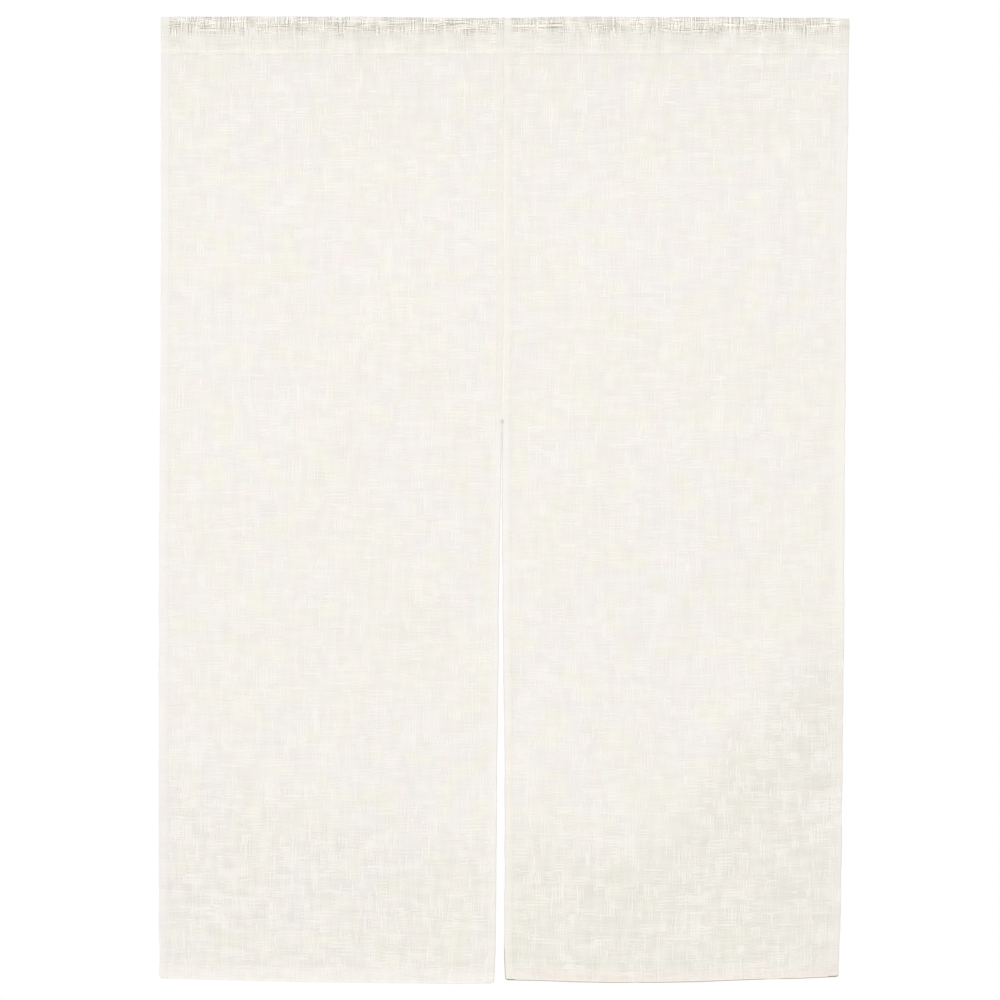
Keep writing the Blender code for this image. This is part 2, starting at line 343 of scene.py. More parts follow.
def relief(panel, x, depth, foot):
    """Small unevenness of the cloth, forward positive: slack along the hems, puckers along the stitching, soft dents."""
    seed = panel["seed"]
    left, right = panel["left"](depth), panel["right"](depth)
    outer_edge, slit_edge = (x - left, right - x) if panel["slit_side"] == "right" else (right - x, x - left)
    hem_outer, hem_slit = SIDE_HEM, SLIT_HEM
    below = smooth(depth, 50.0, 95.0)
    free = smooth(depth, SEAM_END + 6, SEAM_END + 120)
    total = 0.55 * Waves(seed + 1).field(x, depth, 85.0, 150.0) * below
    total = total + 0.12 * Waves(seed + 2).field(x, depth, 28.0, 48.0) * below
    # outer side hem: slack waves that die out inwards, and puckers at its stitching
    reach = np.exp(-((np.maximum(outer_edge, 0) / 26.0) ** 2))
    total = total + 0.55 * reach * Waves(seed + 3).line(depth, 62.0) * below
    total = total + 0.17 * np.exp(-(((outer_edge - hem_outer + 1.6) / 7.0) ** 2)) * Waves(seed + 4).line(depth + 0.3 * outer_edge, 15.0) * below
    # slit side
    reach = np.exp(-((np.maximum(slit_edge, 0) / 22.0) ** 2))
    total = total + 0.75 * reach * Waves(seed + 5).line(depth, 70.0) * below * free
    total = total + 0.19 * np.exp(-(((slit_edge - hem_slit + 1.6) / 7.0) ** 2)) * Waves(seed + 6).line(depth - 0.4 * slit_edge, 14.0) * below
    # short drag lines that the seam draws in the cloth beside it
    total = total + 0.16 * np.exp(-((slit_edge / 20.0) ** 2)) * Waves(seed + 7).line(depth + 0.9 * slit_edge, 19.0) * below * (1 - free)
    # pocket stitching and bottom hem
    up = foot - depth
    total = total + 0.30 * np.exp(-(((depth - POCKET_DEPTH) / np.where(depth > POCKET_DEPTH, 17.0, 9.0)) ** 2)) * Waves(seed + 8).line(x + 0.15 * depth, 17.0)
    total = total + 0.24 * np.exp(-(((up - BOTTOM_HEM + 1.6) / 8.0) ** 2)) * Waves(seed + 9).line(x - 0.2 * depth, 16.0)
    total = total + 0.35 * np.exp(-((np.maximum(up, 0) / 40.0) ** 2)) * Waves(seed + 10).line(x, 90.0)
    # the hems' layers push the front out
    lift = np.maximum(1 - smooth(outer_edge, hem_outer - 0.6, hem_outer + 1.4), 1 - smooth(slit_edge, hem_slit - 0.6, hem_slit + 1.4))
    lift = np.maximum(lift * smooth(depth, 44.0, 60.0), 1 - smooth(up, BOTTOM_HEM - 0.6, BOTTOM_HEM + 1.6))
    return total + HEM_LIFT * lift


def tangent_angle():
    drop = POCKET_DEPTH - TURNED_END + 2.0 + ARC_Z
    reach = math.hypot(drop, STACK / 2)
    return math.asin(POCKET_RADIUS / reach) - math.atan2(STACK / 2, drop)


def pocket_path():
    """The pocket seen from the side, from 40 mm down the front to 40 mm down the flap: arrays of y and z."""
    a = tangent_angle()
    angles = np.linspace(math.pi + a, -a, 21)
    arc_y, arc_z = POCKET_RADIUS * np.cos(angles), ARC_Z + POCKET_RADIUS * np.sin(angles)
    low = -(POCKET_DEPTH - TURNED_END + 2.0)
    shares = np.linspace(0, 1, 10)[:-1]
    front_y, front_z = FRONT_FACE_Y + (arc_y[0] - FRONT_FACE_Y) * shares, low + (arc_z[0] - low) * shares
    back_y, back_z = BACK_FACE_Y + (arc_y[-1] - BACK_FACE_Y) * shares, low + (arc_z[-1] - low) * shares
    return np.concatenate([front_y, arc_y, back_y[::-1]]), np.concatenate([front_z, arc_z, back_z[::-1]])


def build_grid(panel):
    """Positions, outward normals and flat coordinates of the panel's cloth."""
    cols = columns(panel)
    m, weight = cols["behind"], cols["weight"]
    left0, right0 = panel["left"](HEIGHT), panel["right"](HEIGHT)
    x_low = column_x(panel, cols, HEIGHT)
    foot = straight(panel["bottom"], np.clip((x_low - left0) / (right0 - left0), 0, 1))
    at_hem = smooth(weight, 0.15, 0.95)
    fold = HEM_FOLDS[0] + (HEM_FOLDS[1] - HEM_FOLDS[0]) * at_hem
    tuck = HEM_TUCKS[0] + (HEM_TUCKS[1] - HEM_TUCKS[0]) * at_hem
    flap = FLAP_FOLDS[0] + (FLAP_FOLDS[1] - FLAP_FOLDS[0]) * at_hem
    points, flats = [], []

    def hung(depth, behind):
        """Points of the cloth at a depth, some way behind its front layer."""
        x = column_x(panel, cols, depth)
        left, right = panel["left"](depth), panel["right"](depth)
        share = np.clip((x - left) / (right - left), 0, 1)
        y = FRONT_FACE_Y - hang(panel, x, share, depth) - relief(panel, x, depth, foot) + behind
        pinch = np.exp(-(((depth - 45.8) / np.where(depth > 45.8, 7.0, 9.0)) ** 2))
        y = y + PINCH_FRONT * pinch * (1 - weight)
        return np.stack([x, y, -depth], axis=1)

    # the bottom hem, from its tucked cut edge to the bottom fold
    for up in np.linspace(0.0, 1.0, 4):
        height = (BOTTOM_HEM - BOTTOM_TUCK) + (BOTTOM_TUCK - tuck) * up
        points.append(hung(foot - height, 2 * fold - 2 * tuck + m))
        flats.append(-(2 * BOTTOM_HEM - (BOTTOM_HEM - BOTTOM_TUCK) - BOTTOM_TUCK * up))
    for angle in np.radians((-50, 0, 50)):
        height = BOTTOM_HEM - tuck + np.maximum(tuck - m, 0.03) * math.cos(angle)
        points.append(hung(foot - height, 2 * fold - tuck + (tuck - m) * math.sin(angle)))
        flats.append(-BOTTOM_HEM - 0.25 * (0.9 - angle) / 1.8)
    for share in np.linspace(0.0, 1.0, 6):
        height = BOTTOM_HEM - tuck + (fold - BOTTOM_HEM + tuck) * share
        points.append(hung(foot - height, 2 * fold - m))
        flats.append(-BOTTOM_HEM + 0.3 + (BOTTOM_HEM - 1.1) * share)
    for angle in np.radians((120, 150, 180, 210, 240)):
        height = fold + (fold - m) * math.cos(angle)
        points.append(hung(foot - height, fold + (fold - m) * math.sin(angle)))
        flats.append(0.55 * (math.degrees(angle) - 180) / 90)
    # the front
    heights = [0.8, 3.6, 7.0, 10.4, 13.6, BOTTOM_HEM - 1.2, BOTTOM_HEM - 0.2, BOTTOM_HEM + 0.9]
    for number, height in enumerate(heights):
        points.append(hung(foot - np.maximum(height, fold if number == 0 else 0), m))
        flats.append(height)
    first = BOTTOM_HEM + 0.9
    last = 58.0
    count = int(round((HEIGHT - first - last) / STEP))
    for i in range(1, count + 1):
        depth = (foot - first) + (last - (foot - first)) * i / count
        points.append(hung(depth, m))
        flats.append(first + (HEIGHT - last - first) * i / count)
    for depth in (55.4, 52.8, 50.6, 48.6, 47.0, 45.8, 44.6, 43.0):
        points.append(hung(np.full_like(foot, depth), m))
        flats.append(HEIGHT - depth)
    # the pocket
    py, pz = pocket_path()
    ty, tz = np.gradient(py), np.gradient(pz)
    length = np.hypot(ty, tz)
    ny, nz = tz / length, -ty / length  # towards the inside of the pocket
    run = np.concatenate([[0], np.cumsum(np.hypot(np.diff(py), np.diff(pz)))])
    start = HEIGHT - 40.0
    loose = Waves(panel["seed"] + 20)
    for i in range(len(py)):
        depth = -pz[i]
        x = column_x(panel, cols, depth)
        high = max(0.0, 1.0 + pz[i] / (POCKET_DEPTH - TURNED_END))
        sink = eased(TOP_DIP, x) * high
        near = np.exp(-(((depth - 45.8) / 9.0) ** 2)) * (1 - weight)
        shift = (PINCH_FRONT if py[i] < 0 and i < len(py) / 2 else -PINCH_BACK) * near
        slack = 0.45 * loose.field(x, np.full_like(x, run[i]), 60.0, 45.0) * min(1.0, high * 1.6)
        slack = slack + 0.22 * Waves(panel["seed"] + 21).field(x, np.full_like(x, run[i]), 15.0, 70.0) * min(1.0, high * 1.3)
        y = py[i] + (m + slack) * ny[i] + shift
        z = pz[i] + (m + slack * (0.35 if high > 0.8 else 1.0)) * nz[i] - sink
        if i < len(py) / 2:
            fade = math.exp(-(((depth - POCKET_DEPTH) / 9.0) ** 2))
            y = y - 0.30 * fade * Waves(panel["seed"] + 8).line(x + 0.15 * depth, 17.0)
        points.append(np.stack([x, y, z], axis=1))
        flats.append(start + run[i])
    top = start + run[len(py) // 2]
    # the flap's end and the turned-in end
    start = flats[-1]

    def behind(depth, y, fold_share=0.0):
        x = column_x(panel, cols, depth)
        near = np.exp(-(((depth - 45.8) / np.where(depth > 45.8, 7.0, 9.0)) ** 2)) * (1 - weight)
        return np.stack([x, y - PINCH_BACK * near, -depth], axis=1)

    for depth in (42.2, 44.2, 45.8, 47.2):
        points.append(behind(np.full_like(foot, depth), BACK_FACE_Y - m))
        flats.append(start + depth - 40.0)
    end = start + FLAP_END - 40.0
    for angle in np.radians((60, 30, 0, -30, -60)):
        depth = FLAP_END - flap + (flap - m) * math.cos(angle)
        points.append(behind(depth, BACK_FACE_Y - flap + (flap - m) * math.sin(angle)))
        flats.append(end - 0.4 * math.sin(angle))
    for share in (0.0, 0.35, 0.7, 1.0):
        depth = FLAP_END - flap - (TURNED_END - flap) * share
        points.append(behind(depth, BACK_FACE_Y - 2 * flap + m))
        flats.append(end + 0.6 + (TURNED_END - 0.6) * share)

    grid = np.array(points)
    # the bottom corners are rounded, and the edges of the hems are not quite straight
    x, depth = grid[..., 0], -grid[..., 2]
    foot_there = np.broadcast_to(foot, x.shape)
    for side, seed in (("left", 31), ("right", 32)):
        edge = panel[side](depth)
        inwards = 1.0 if side == "left" else -1.0
        near = np.clip((x - edge) * inwards, 0, None)
        slit = panel["slit_side"] == side
        wobble = (0.2 if slit else 0.3) * Waves(panel["seed"] + seed).line(depth, 95.0) + 0.14 * Waves(panel["seed"] + seed + 5).line(depth, 24.0)
        wobble = wobble * smooth(depth, 55.0, 120.0) * (smooth(depth, SEAM_END + 10, SEAM_END + 90) if slit else 1.0)
        grid[..., 0] += wobble * (1 - smooth(near, 6.0, 30.0))
        if slit:
            grid[..., 0] -= inwards * 0.11 * (1 - smooth(near, 0.6, 8.0)) * (1 - smooth(depth, SEAM_END - 40, SEAM_END - 4))
        a = np.clip(1 - near / CORNER, 0, 1)
        b = np.clip(1 - (foot_there - depth) / CORNER, 0, 1)
        grid[..., 0] += inwards * CORNER * (a - a * np.sqrt(1 - b * b / 2))
        grid[..., 2] += CORNER * (b - b * np.sqrt(1 - a * a / 2))
    along = np.gradient(grid, axis=0)
    across = np.gradient(grid, axis=1)
    normal = np.cross(across, along)
    normal /= np.linalg.norm(normal, axis=2, keepdims=True)
    return {
        "points": grid,
        "normals": normal,
        "s": cols["flat"],
        "t": np.array(flats),
        "width": cols["width"],
        "top": top,
        "pocket_line": HEIGHT - 45.8,
        "flap_line": start + 45.8 - 40.0,
        "flap_end": end,
    }


def on_cloth(grid, s, t):
    """Points and outward normals of the cloth at flat coordinates."""
    column = np.interp(s, grid["s"], np.arange(len(grid["s"])))
    row = np.interp(t, grid["t"], np.arange(len(grid["t"])))
    i, j = np.clip(row.astype(int), 0, len(grid["t"]) - 2), np.clip(column.astype(int), 0, len(grid["s"]) - 2)
    a, b = (row - i)[..., None], (column - j)[..., None]
    found = []
    for field in (grid["points"], grid["normals"]):
        found.append((1 - a) * ((1 - b) * field[i, j] + b * field[i, j + 1]) + a * ((1 - b) * field[i + 1, j] + b * field[i + 1, j + 1]))
    found[1] = found[1] / np.linalg.norm(found[1], axis=-1, keepdims=True)
    return found


def link(name, verts, faces, uv_maps, material):
    """A smooth mesh object from arrays of points in millimetres and of four-sided faces."""
    mesh = bpy.data.meshes.new(name)
    mesh.vertices.add(len(verts))
    mesh.vertices.foreach_set("co", (np.asarray(verts) * MM).astype(np.float32).ravel())
    faces = np.asarray(faces, dtype=np.int32)
    mesh.loops.add(faces.size)
    mesh.loops.foreach_set("vertex_index", faces.ravel())
    mesh.polygons.add(len(faces))
    mesh.polygons.foreach_set("loop_start", np.arange(0, faces.size, faces.shape[1], dtype=np.int32))
    mesh.polygons.foreach_set("loop_total", np.full(len(faces), faces.shape[1], dtype=np.int32))
    mesh.polygons.foreach_set("use_smooth", np.ones(len(faces), dtype=bool))
    mesh.update(calc_edges=True)
    for uv_name, values in uv_maps.items():
        layer = mesh.uv_layers.new(name=uv_name)
        layer.data.foreach_set("uv", np.asarray(values, dtype=np.float32).ravel())
    mesh.validate()
    made = bpy.data.objects.new(name, mesh)
    bpy.context.scene.collection.objects.link(made)
    mesh.materials.append(material)
    return made


def cloth_object(panel, grid, material):
    """The cloth, with its flat coordinates in millimetres as one UV map and a map for baking in two strips."""
    rows, cols = grid["points"].shape[:2]
    number = np.arange(rows * cols).reshape(rows, cols)
    faces = np.stack([number[:-1, :-1], number[:-1, 1:], number[1:, 1:], number[1:, :-1]], axis=-1).reshape(-1, 4)
    s, t = grid["s"], grid["t"]
    row, col = faces // cols, faces % cols
    flat = np.stack([s[col], t[row]], axis=-1)
    middle = int(np.searchsorted(t, (t[0] + t[-1]) / 2))
    upper = (row.min(axis=1) >= middle)[:, None]
    u = (s[col] - s[0]) / (s[-1] - s[0])
    v_low = (t[row] - t[0]) / (t[middle] - t[0])
    v_high = (t[row] - t[middle]) / (t[-1] - t[middle])
    bake = np.stack([0.006 + 0.488 * u + 0.5 * upper, 0.006 + 0.988 * np.where(upper, v_high, v_low)], axis=-1)
    return link(panel["name"] + "_cloth", grid["points"].reshape(-1, 3), faces, {"cloth_flat": flat, "OFBake": bake}, material)


# ---------------------------------------------------------------- yarn runs and thread
def strips(name, centre, along, out, half_width, half_height, sides, material):
    """Closed strands joined into one mesh. centre, along and out are (strand, ring, 3); half_width and half_height (strand, ring)."""
    strands, rings = centre.shape[:2]
    cross = np.cross(along, out)
    cross /= np.linalg.norm(cross, axis=-1, keepdims=True)
    angles = np.linspace(0, 2 * math.pi, sides, endpoint=False)
    ring = centre[:, :, None, :] + cross[:, :, None, :] * (half_width[:, :, None] * np.cos(angles))[..., None] + out[:, :, None, :] * (half_height[:, :, None] * np.sin(angles))[..., None]
    verts = ring.reshape(-1, 3)
    base = (np.arange(strands) * rings * sides)[:, None, None]
    k, c = np.meshgrid(np.arange(rings - 1), np.arange(sides), indexing="ij")
    a = base + (k * sides + c)[None]
    b = base + (k * sides + (c + 1) % sides)[None]
    quads = np.stack([a, b, b + sides, a + sides], axis=-1).reshape(-1, 4)
    run = np.concatenate([np.zeros((strands, 1)), np.cumsum(np.linalg.norm(np.diff(centre, axis=1), axis=-1), axis=1)], axis=1)
    # UV: length in millimetres, and a number for the strand with its turn across
    strand = np.broadcast_to(np.arange(strands)[:, None, None], (strands, rings - 1, sides))
    kk, cc = np.broadcast_to(k, strand.shape), np.broadcast_to(c, strand.shape)
    u0, u1 = run[strand, kk], run[strand, kk + 1]
    v0, v1 = strand + 0.15 + 0.7 * cc / sides, strand + 0.15 + 0.7 * (cc + 1) / sides
    yarn = np.stack([np.stack([u0, v0], -1), np.stack([u0, v1], -1), np.stack([u1, v1], -1), np.stack([u1, v0], -1)], axis=3).reshape(-1, 4, 2)
    # baking: each strand in a cell of its own
    across = max(1, int(round(math.sqrt(strands / 7.0))))
    down = int(math.ceil(strands / across))
    cell_x, cell_y = (strand % across) / across, (strand // across) / down
    share0, share1 = u0 / run[strand, rings - 1], u1 / run[strand, rings - 1]
    bx0, bx1 = cell_x + (0.04 + 0.92 * share0) / across, cell_x + (0.04 + 0.92 * share1) / across
    by0, by1 = cell_y + (0.1 + 0.8 * cc / sides) / down, cell_y + (0.1 + 0.8 * (cc + 1) / sides) / down
    bake = np.stack([np.stack([bx0, by0], -1), np.stack([bx0, by1], -1), np.stack([bx1, by1], -1), np.stack([bx1, by0], -1)], axis=3).reshape(-1, 4, 2)
    faces, maps = [quads], {"yarn": [yarn], "OFBake": [bake]}
    if sides == 4:
        for at, order in ((0, (3, 2, 1, 0)), (rings - 1, (0, 1, 2, 3))):
            cap = (np.arange(strands) * rings * sides)[:, None] + at * sides + np.array(order)[None]
            faces.append(cap)
            number = np.arange(strands)
            edge = run[:, 0] if at == 0 else run[:, -1]
            corner = np.stack([np.repeat(edge[:, None], 4, 1), np.repeat((number + 0.5)[:, None], 4, 1)], axis=-1)
            cx = (number % across) / across + (0.02 if at == 0 else 0.98) / across
            cy = (number // across + 0.5) / down
            spread = np.array([[-0.01, -0.2], [0.01, -0.2], [0.01, 0.2], [-0.01, 0.2]])
            square = np.stack([cx, cy], -1)[:, None, :] + spread[None] / np.array([across, down])
            maps["yarn"].append(corner)
            maps["OFBake"].append(square)
    return link(name, verts, np.concatenate(faces), {key: np.concatenate(value) for key, value in maps.items()}, material)


def slubs(panel, grid, warp, count, material):
    """The thick runs of the warp or weft yarn, each lying a little proud on both sides of the cloth."""
    draw = np.random.default_rng(panel["seed"] * 7 + (1 if warp else 2))
    width, end = grid["width"], grid["flap_end"]
    centres, lengths = [], []
    while len(centres) < count:
        s, t = draw.uniform(2.0, width - 2.0), draw.uniform(2.0, end - 2.0)
        # more of them show in the lower part and round the rod
        keep = 0.66 + 0.34 * (1 - smooth(t, 240.0, 520.0)) + 0.3 * math.exp(-(((t - grid["top"]) / 22.0) ** 2))
        if draw.uniform() > keep:
            continue
        length = float(np.clip(14.5 * math.exp(draw.normal(0.0, 0.42)), 7.0, 38.0))
        group = 1 if draw.uniform() > 0.42 else int(draw.integers(2, 5))
        pitch = draw.choice([3, 4, 4, 5]) * YARN
        for g in range(group):
            shift, drift = g * pitch, draw.normal(0.0, 1.3)
            here = (s + shift, t + drift) if warp else (s + drift, t + shift)
            centres.append(here)
            lengths.append(length * draw.uniform(0.8, 1.1))
    centres, lengths = np.array(centres[:count]), np.array(lengths[:count])
    lane = 0 if warp else 1
    centres[:, lane] = (np.round(centres[:, lane] / YARN - 0.5) + 0.5) * YARN
    half = lengths / 2
    low, high = (1.2, end - 1.0) if warp else (1.2, width - 1.2)
    run_lane = 1 - lane
    centres[:, run_lane] = np.clip(centres[:, run_lane], low + half, high - half)
    centres[:, lane] = np.clip(centres[:, lane], 1.2, (width if warp else end) - 1.2)
    share = np.array([-1.0, -0.86, -0.56, -0.19, 0.19, 0.56, 0.86, 1.0])[None, :]
    rings = share.shape[1]
    bow = draw.normal(0, 0.04, (count, 1)) * (1 - share**2) + draw.normal(0, 0.012, (count, rings))
    s = centres[:, :1] + (bow if warp else half[:, None] * share)
    t = centres[:, 1:] + (half[:, None] * share if warp else bow)
    centre, out = on_cloth(grid, s, t)
    along = np.gradient(centre, axis=1)
    along /= np.linalg.norm(along, axis=-1, keepdims=True)
    body = np.array([0.0, 0.72, 1.0, 1.0, 1.0, 1.0, 0.72, 0.0])[None, :]
    thick = draw.uniform(0.42, 0.88, (count, 1)) * (1 + 0.07 * draw.normal(0, 1, (count, rings)).clip(-1.5, 1.5))
    half_width = np.maximum(thick * (0.28 + 0.72 * body), 0.12)
    half_height = np.maximum((0.06 + 0.07 * draw.uniform(0.3, 1.0, (count, 1))) * (0.2 + 0.8 * body), 0.035)
    made = strips(panel["name"] + ("_warp_slubs" if warp else "_weft_slubs"), centre, along, out, half_width, half_height, 4, material)
    made.data.shade_flat()
    return made


def stitch_lines(panel, grid):
    """Start and end of every stitch, in flat coordinates, front and back."""
    width, end = grid["width"], grid["flap_end"]
    draw = np.random.default_rng(panel["seed"] * 13)
    starts, ends = [], []

    def line(s0, t0, s1, t1):
        total = math.hypot(s1 - s0, t1 - t0)
        count = int(total / STITCH)
        at = (np.arange(count) + 0.5) / count
        sway = np.cumsum(draw.normal(0, 0.03, count))
        sway -= np.convolve(np.pad(sway, 20, mode="edge"), np.ones(41) / 41, mode="valid")
        for share, off in zip(at, sway):
            half = 0.41 * STITCH / total
            sx, tx = (t1 - t0) / total * off, -(s1 - s0) / total * off
            a, b = share - half, share + half
            starts.append((s0 + (s1 - s0) * a + sx, t0 + (t1 - t0) * a + tx))
            ends.append((s0 + (s1 - s0) * b + sx, t0 + (t1 - t0) * b + tx))

    for hem, sign, edge in ((panel["left_hem"], 1.0, 0.0), (panel["right_hem"], -1.0, width)):
        line(edge + sign * (hem - 1.6), 1.5, edge + sign * (hem - 1.6), end - 1.0)
        line(edge - sign * (hem - 1.6), BOTTOM_HEM + 1.0, edge - sign * (hem - 1.6), grid["flap_end"] - 1.0)
    line(1.2, BOTTOM_HEM - 1.6, width - 1.2, BOTTOM_HEM - 1.6)
    line(1.2, -(BOTTOM_HEM - 1.9), width - 1.2, -(BOTTOM_HEM - 1.9))
    line(1.2, grid["pocket_line"], width - 1.2, grid["pocket_line"])
    line(1.2, grid["flap_line"], width - 1.2, grid["flap_line"])
    return np.array(starts), np.array(ends)


def thread(panel, grid, material):
    starts, ends = stitch_lines(panel, grid)
    rings = 5
    share = np.linspace(0, 1, rings)[None, :]
    s = starts[:, :1] + (ends[:, :1] - starts[:, :1]) * share
    t = starts[:, 1:] + (ends[:, 1:] - starts[:, 1:]) * share
    centre, out = on_cloth(grid, s, t)
    arch = np.array([-0.16, 0.14, 0.22, 0.14, -0.16])[None, :, None]
    along = np.gradient(centre, axis=1)
    along /= np.linalg.norm(along, axis=-1, keepdims=True)
    centre = centre + out * arch
    radius = np.broadcast_to(np.array([0.10, 0.19, 0.2, 0.19, 0.10])[None, :], centre.shape[:2])
    return strips(panel["name"] + "_thread", centre, along, out, radius, radius, 4, material)


def seam_thread(grids, material):
    """Ladder stitches that join the two panels down to the slit, front and back, ending in a close bar of stitches."""
    left, right = grids
    draw = np.random.default_rng(77)
    found = []
    # flat coordinates run up the panel: the seam goes from the slit's head over the pocket to the flap's end
    head = HEIGHT - SEAM_END
    at = [head + 0.8 + i * 0.62 for i in range(7)]
    at += list(np.arange(head + 6.0, left["flap_end"] - 1.5, 4.1))
    for t in at:
        slant = 0.5 if t < head + 5.5 else 1.3
        found.append((2.3 + draw.normal(0, 0.12), t - slant / 2, 2.3 + draw.normal(0, 0.12), t + slant / 2, 1.0))
        if t < left["pocket_line"]:
            found.append((2.2 + draw.normal(0, 0.12), t + slant / 2 + 1.1, 2.2 + draw.normal(0, 0.12), t - slant / 2 + 1.1, -1.0))
    rings = 7
    share = np.linspace(0, 1, rings)
    centre, out = [], []
    for a, t0, b, t1, face in found:
        if face > 0:
            p, pn = on_cloth(left, np.array(left["width"] - a), np.array(t0))
            q, qn = on_cloth(right, np.array(b), np.array(t1))
        else:
            p, pn = on_cloth(left, np.array(left["width"] + a), np.array(t0))
            q, qn = on_cloth(right, np.array(-b), np.array(t1))
        n = (pn + qn) / np.linalg.norm(pn + qn)
        lift = np.array([-0.15, 0.16, 0.30, 0.34, 0.30, 0.16, -0.15])
        centre.append(p[None] + (q - p)[None] * share[:, None] + n[None] * lift[:, None])
        out.append(np.repeat(n[None], rings, axis=0))
    centre, out = np.array(centre), np.array(out)
    along = np.gradient(centre, axis=1)
    along /= np.linalg.norm(along, axis=-1, keepdims=True)
    radius = np.broadcast_to(np.array([0.12, 0.2, 0.21, 0.21, 0.21, 0.2, 0.12])[None, :], centre.shape[:2])
    return strips("seam_thread", centre, along, out, radius, radius, 4, material)


# ---------------------------------------------------------------- materials
class Tree:
    """Short ways to lay shader nodes."""

    def __init__(self, name):
        self.material = bpy.data.materials.new(name)
        self.material.use_nodes = True
        self.nodes, self.links = self.material.node_tree.nodes, self.material.node_tree.links
        self.nodes.clear()

    def join(self, value, socket):
        if isinstance(value, (int, float)):
            socket.default_value = value
        elif isinstance(value, tuple):
            socket.default_value = value
        else:
            self.links.new(value, socket)

    def math(self, kind, a, b=None, c=None, clamp=False):
        node = self.nodes.new("ShaderNodeMath")
        node.operation, node.use_clamp = kind, clamp
        for number, value in enumerate((a, b, c)):
            if value is not None:
                self.join(value, node.inputs[number])
        return node.outputs[0]

    def add(self, a, b):
        return self.math("ADD", a, b)

    def sub(self, a, b):
        return self.math("SUBTRACT", a, b)

    def mul(self, a, b):
        return self.math("MULTIPLY", a, b)

    def step(self, value, low, high):
        """0 below low, 1 above high, eased between; high may be the lower of the two."""
        node = self.nodes.new("ShaderNodeMapRange")
        node.interpolation_type = "SMOOTHSTEP"
        self.join(value, node.inputs["Value"])
        flipped = low > high
        node.inputs["From Min"].default_value, node.inputs["From Max"].default_value = (high, low) if flipped else (low, high)
        node.inputs["To Min"].default_value, node.inputs["To Max"].default_value = (1.0, 0.0) if flipped else (0.0, 1.0)
        return node.outputs["Result"]

    def uv(self, name):
        node = self.nodes.new("ShaderNodeUVMap")
        node.uv_map = name
        split = self.nodes.new("ShaderNodeSeparateXYZ")
        self.links.new(node.outputs[0], split.inputs[0])
        return split.outputs[0], split.outputs[1]

    def noise(self, x, y, detail=0.0, scale=1.0):
        place = self.nodes.new("ShaderNodeCombineXYZ")
        self.join(x, place.inputs[0])
        self.join(y, place.inputs[1])
        node = self.nodes.new("ShaderNodeTexNoise")
        node.noise_dimensions = "2D"
        node.inputs["Scale"].default_value = scale
        node.inputs["Detail"].default_value = detail
        self.links.new(place.outputs[0], node.inputs["Vector"])
        return node.outputs[0]

    def chance(self, value):
        node = self.nodes.new("ShaderNodeTexWhiteNoise")
        node.noise_dimensions = "1D"
        self.join(value, node.inputs["W"])
        return node.outputs["Value"]

    def chances(self, a, b):
        """Four random numbers, 0 to 1, for a pair of whole numbers."""
        place = self.nodes.new("ShaderNodeCombineXYZ")
        self.join(a, place.inputs[0])
        self.join(b, place.inputs[1])
        node = self.nodes.new("ShaderNodeTexWhiteNoise")
        node.noise_dimensions = "2D"
        self.links.new(place.outputs[0], node.inputs["Vector"])
        split = self.nodes.new("ShaderNodeSeparateColor")
        self.links.new(node.outputs["Color"], split.inputs[0])
        return node.outputs["Value"], split.outputs[0], split.outputs[1], split.outputs[2]

    def dashes(self, along, across, length, width, pitch, share, seed):
        """Short straight runs, one group to a cell of a staggered brickwork: light lines with dark ones beside them, about -1 to 1."""
        row_at = self.math("MULTIPLY_ADD", across, 1 / width, seed)
        row = self.math("FLOOR", row_at)
        column_at = self.math("MULTIPLY_ADD", along, 1 / length, self.mul(self.chance(row), 9.0))
        column = self.math("FLOOR", column_at)
        there, long, off, many = self.chances(column, row)
        reach = self.sub(self.math("MULTIPLY_ADD", long, 0.33, 0.16), self.math("ABSOLUTE", self.sub(self.math("FRACT", column_at), 0.5)))
        ends = self.step(reach, 0.0, 1.1 / length)
        aside = self.mul(self.sub(self.math("FRACT", row_at), self.math("MULTIPLY_ADD", off, 0.36, 0.32)), width)
        window = self.math("DIVIDE", aside, self.math("MULTIPLY_ADD", self.mul(many, many), 0.30 * width, 0.55 * pitch))
        window = self.math("MAXIMUM", self.sub(1.0, self.mul(window, window)), 0.0)
        wave = self.math("COSINE", self.mul(aside, 2 * math.pi / pitch))
        return self.mul(self.mul(ends, window), self.mul(wave, self.step(there, 1.0 - share, 1.25 - share)))

    def mix(self, share, a, b):
        node = self.nodes.new("ShaderNodeMix")
        node.data_type = "RGBA"
        self.join(share, node.inputs["Factor"])
        for value, socket in ((a, node.inputs[6]), (b, node.inputs[7])):
            self.join((*value, 1.0) if isinstance(value, tuple) and len(value) == 3 else value, socket)
        return node.outputs[2]

    def brighten(self, colour, share):
        """The colour times a number."""
        node = self.nodes.new("ShaderNodeVectorMath")
        node.operation = "SCALE"
        self.links.new(colour, node.inputs[0])
        self.join(share, node.inputs["Scale"])
        return node.outputs[0]

    def bump(self, height, strength, distance):
        node = self.nodes.new("ShaderNodeBump")
        node.inputs["Strength"].default_value = strength
        node.inputs["Distance"].default_value = distance * MM
        self.links.new(height, node.inputs["Height"])
        return node.outputs[0]

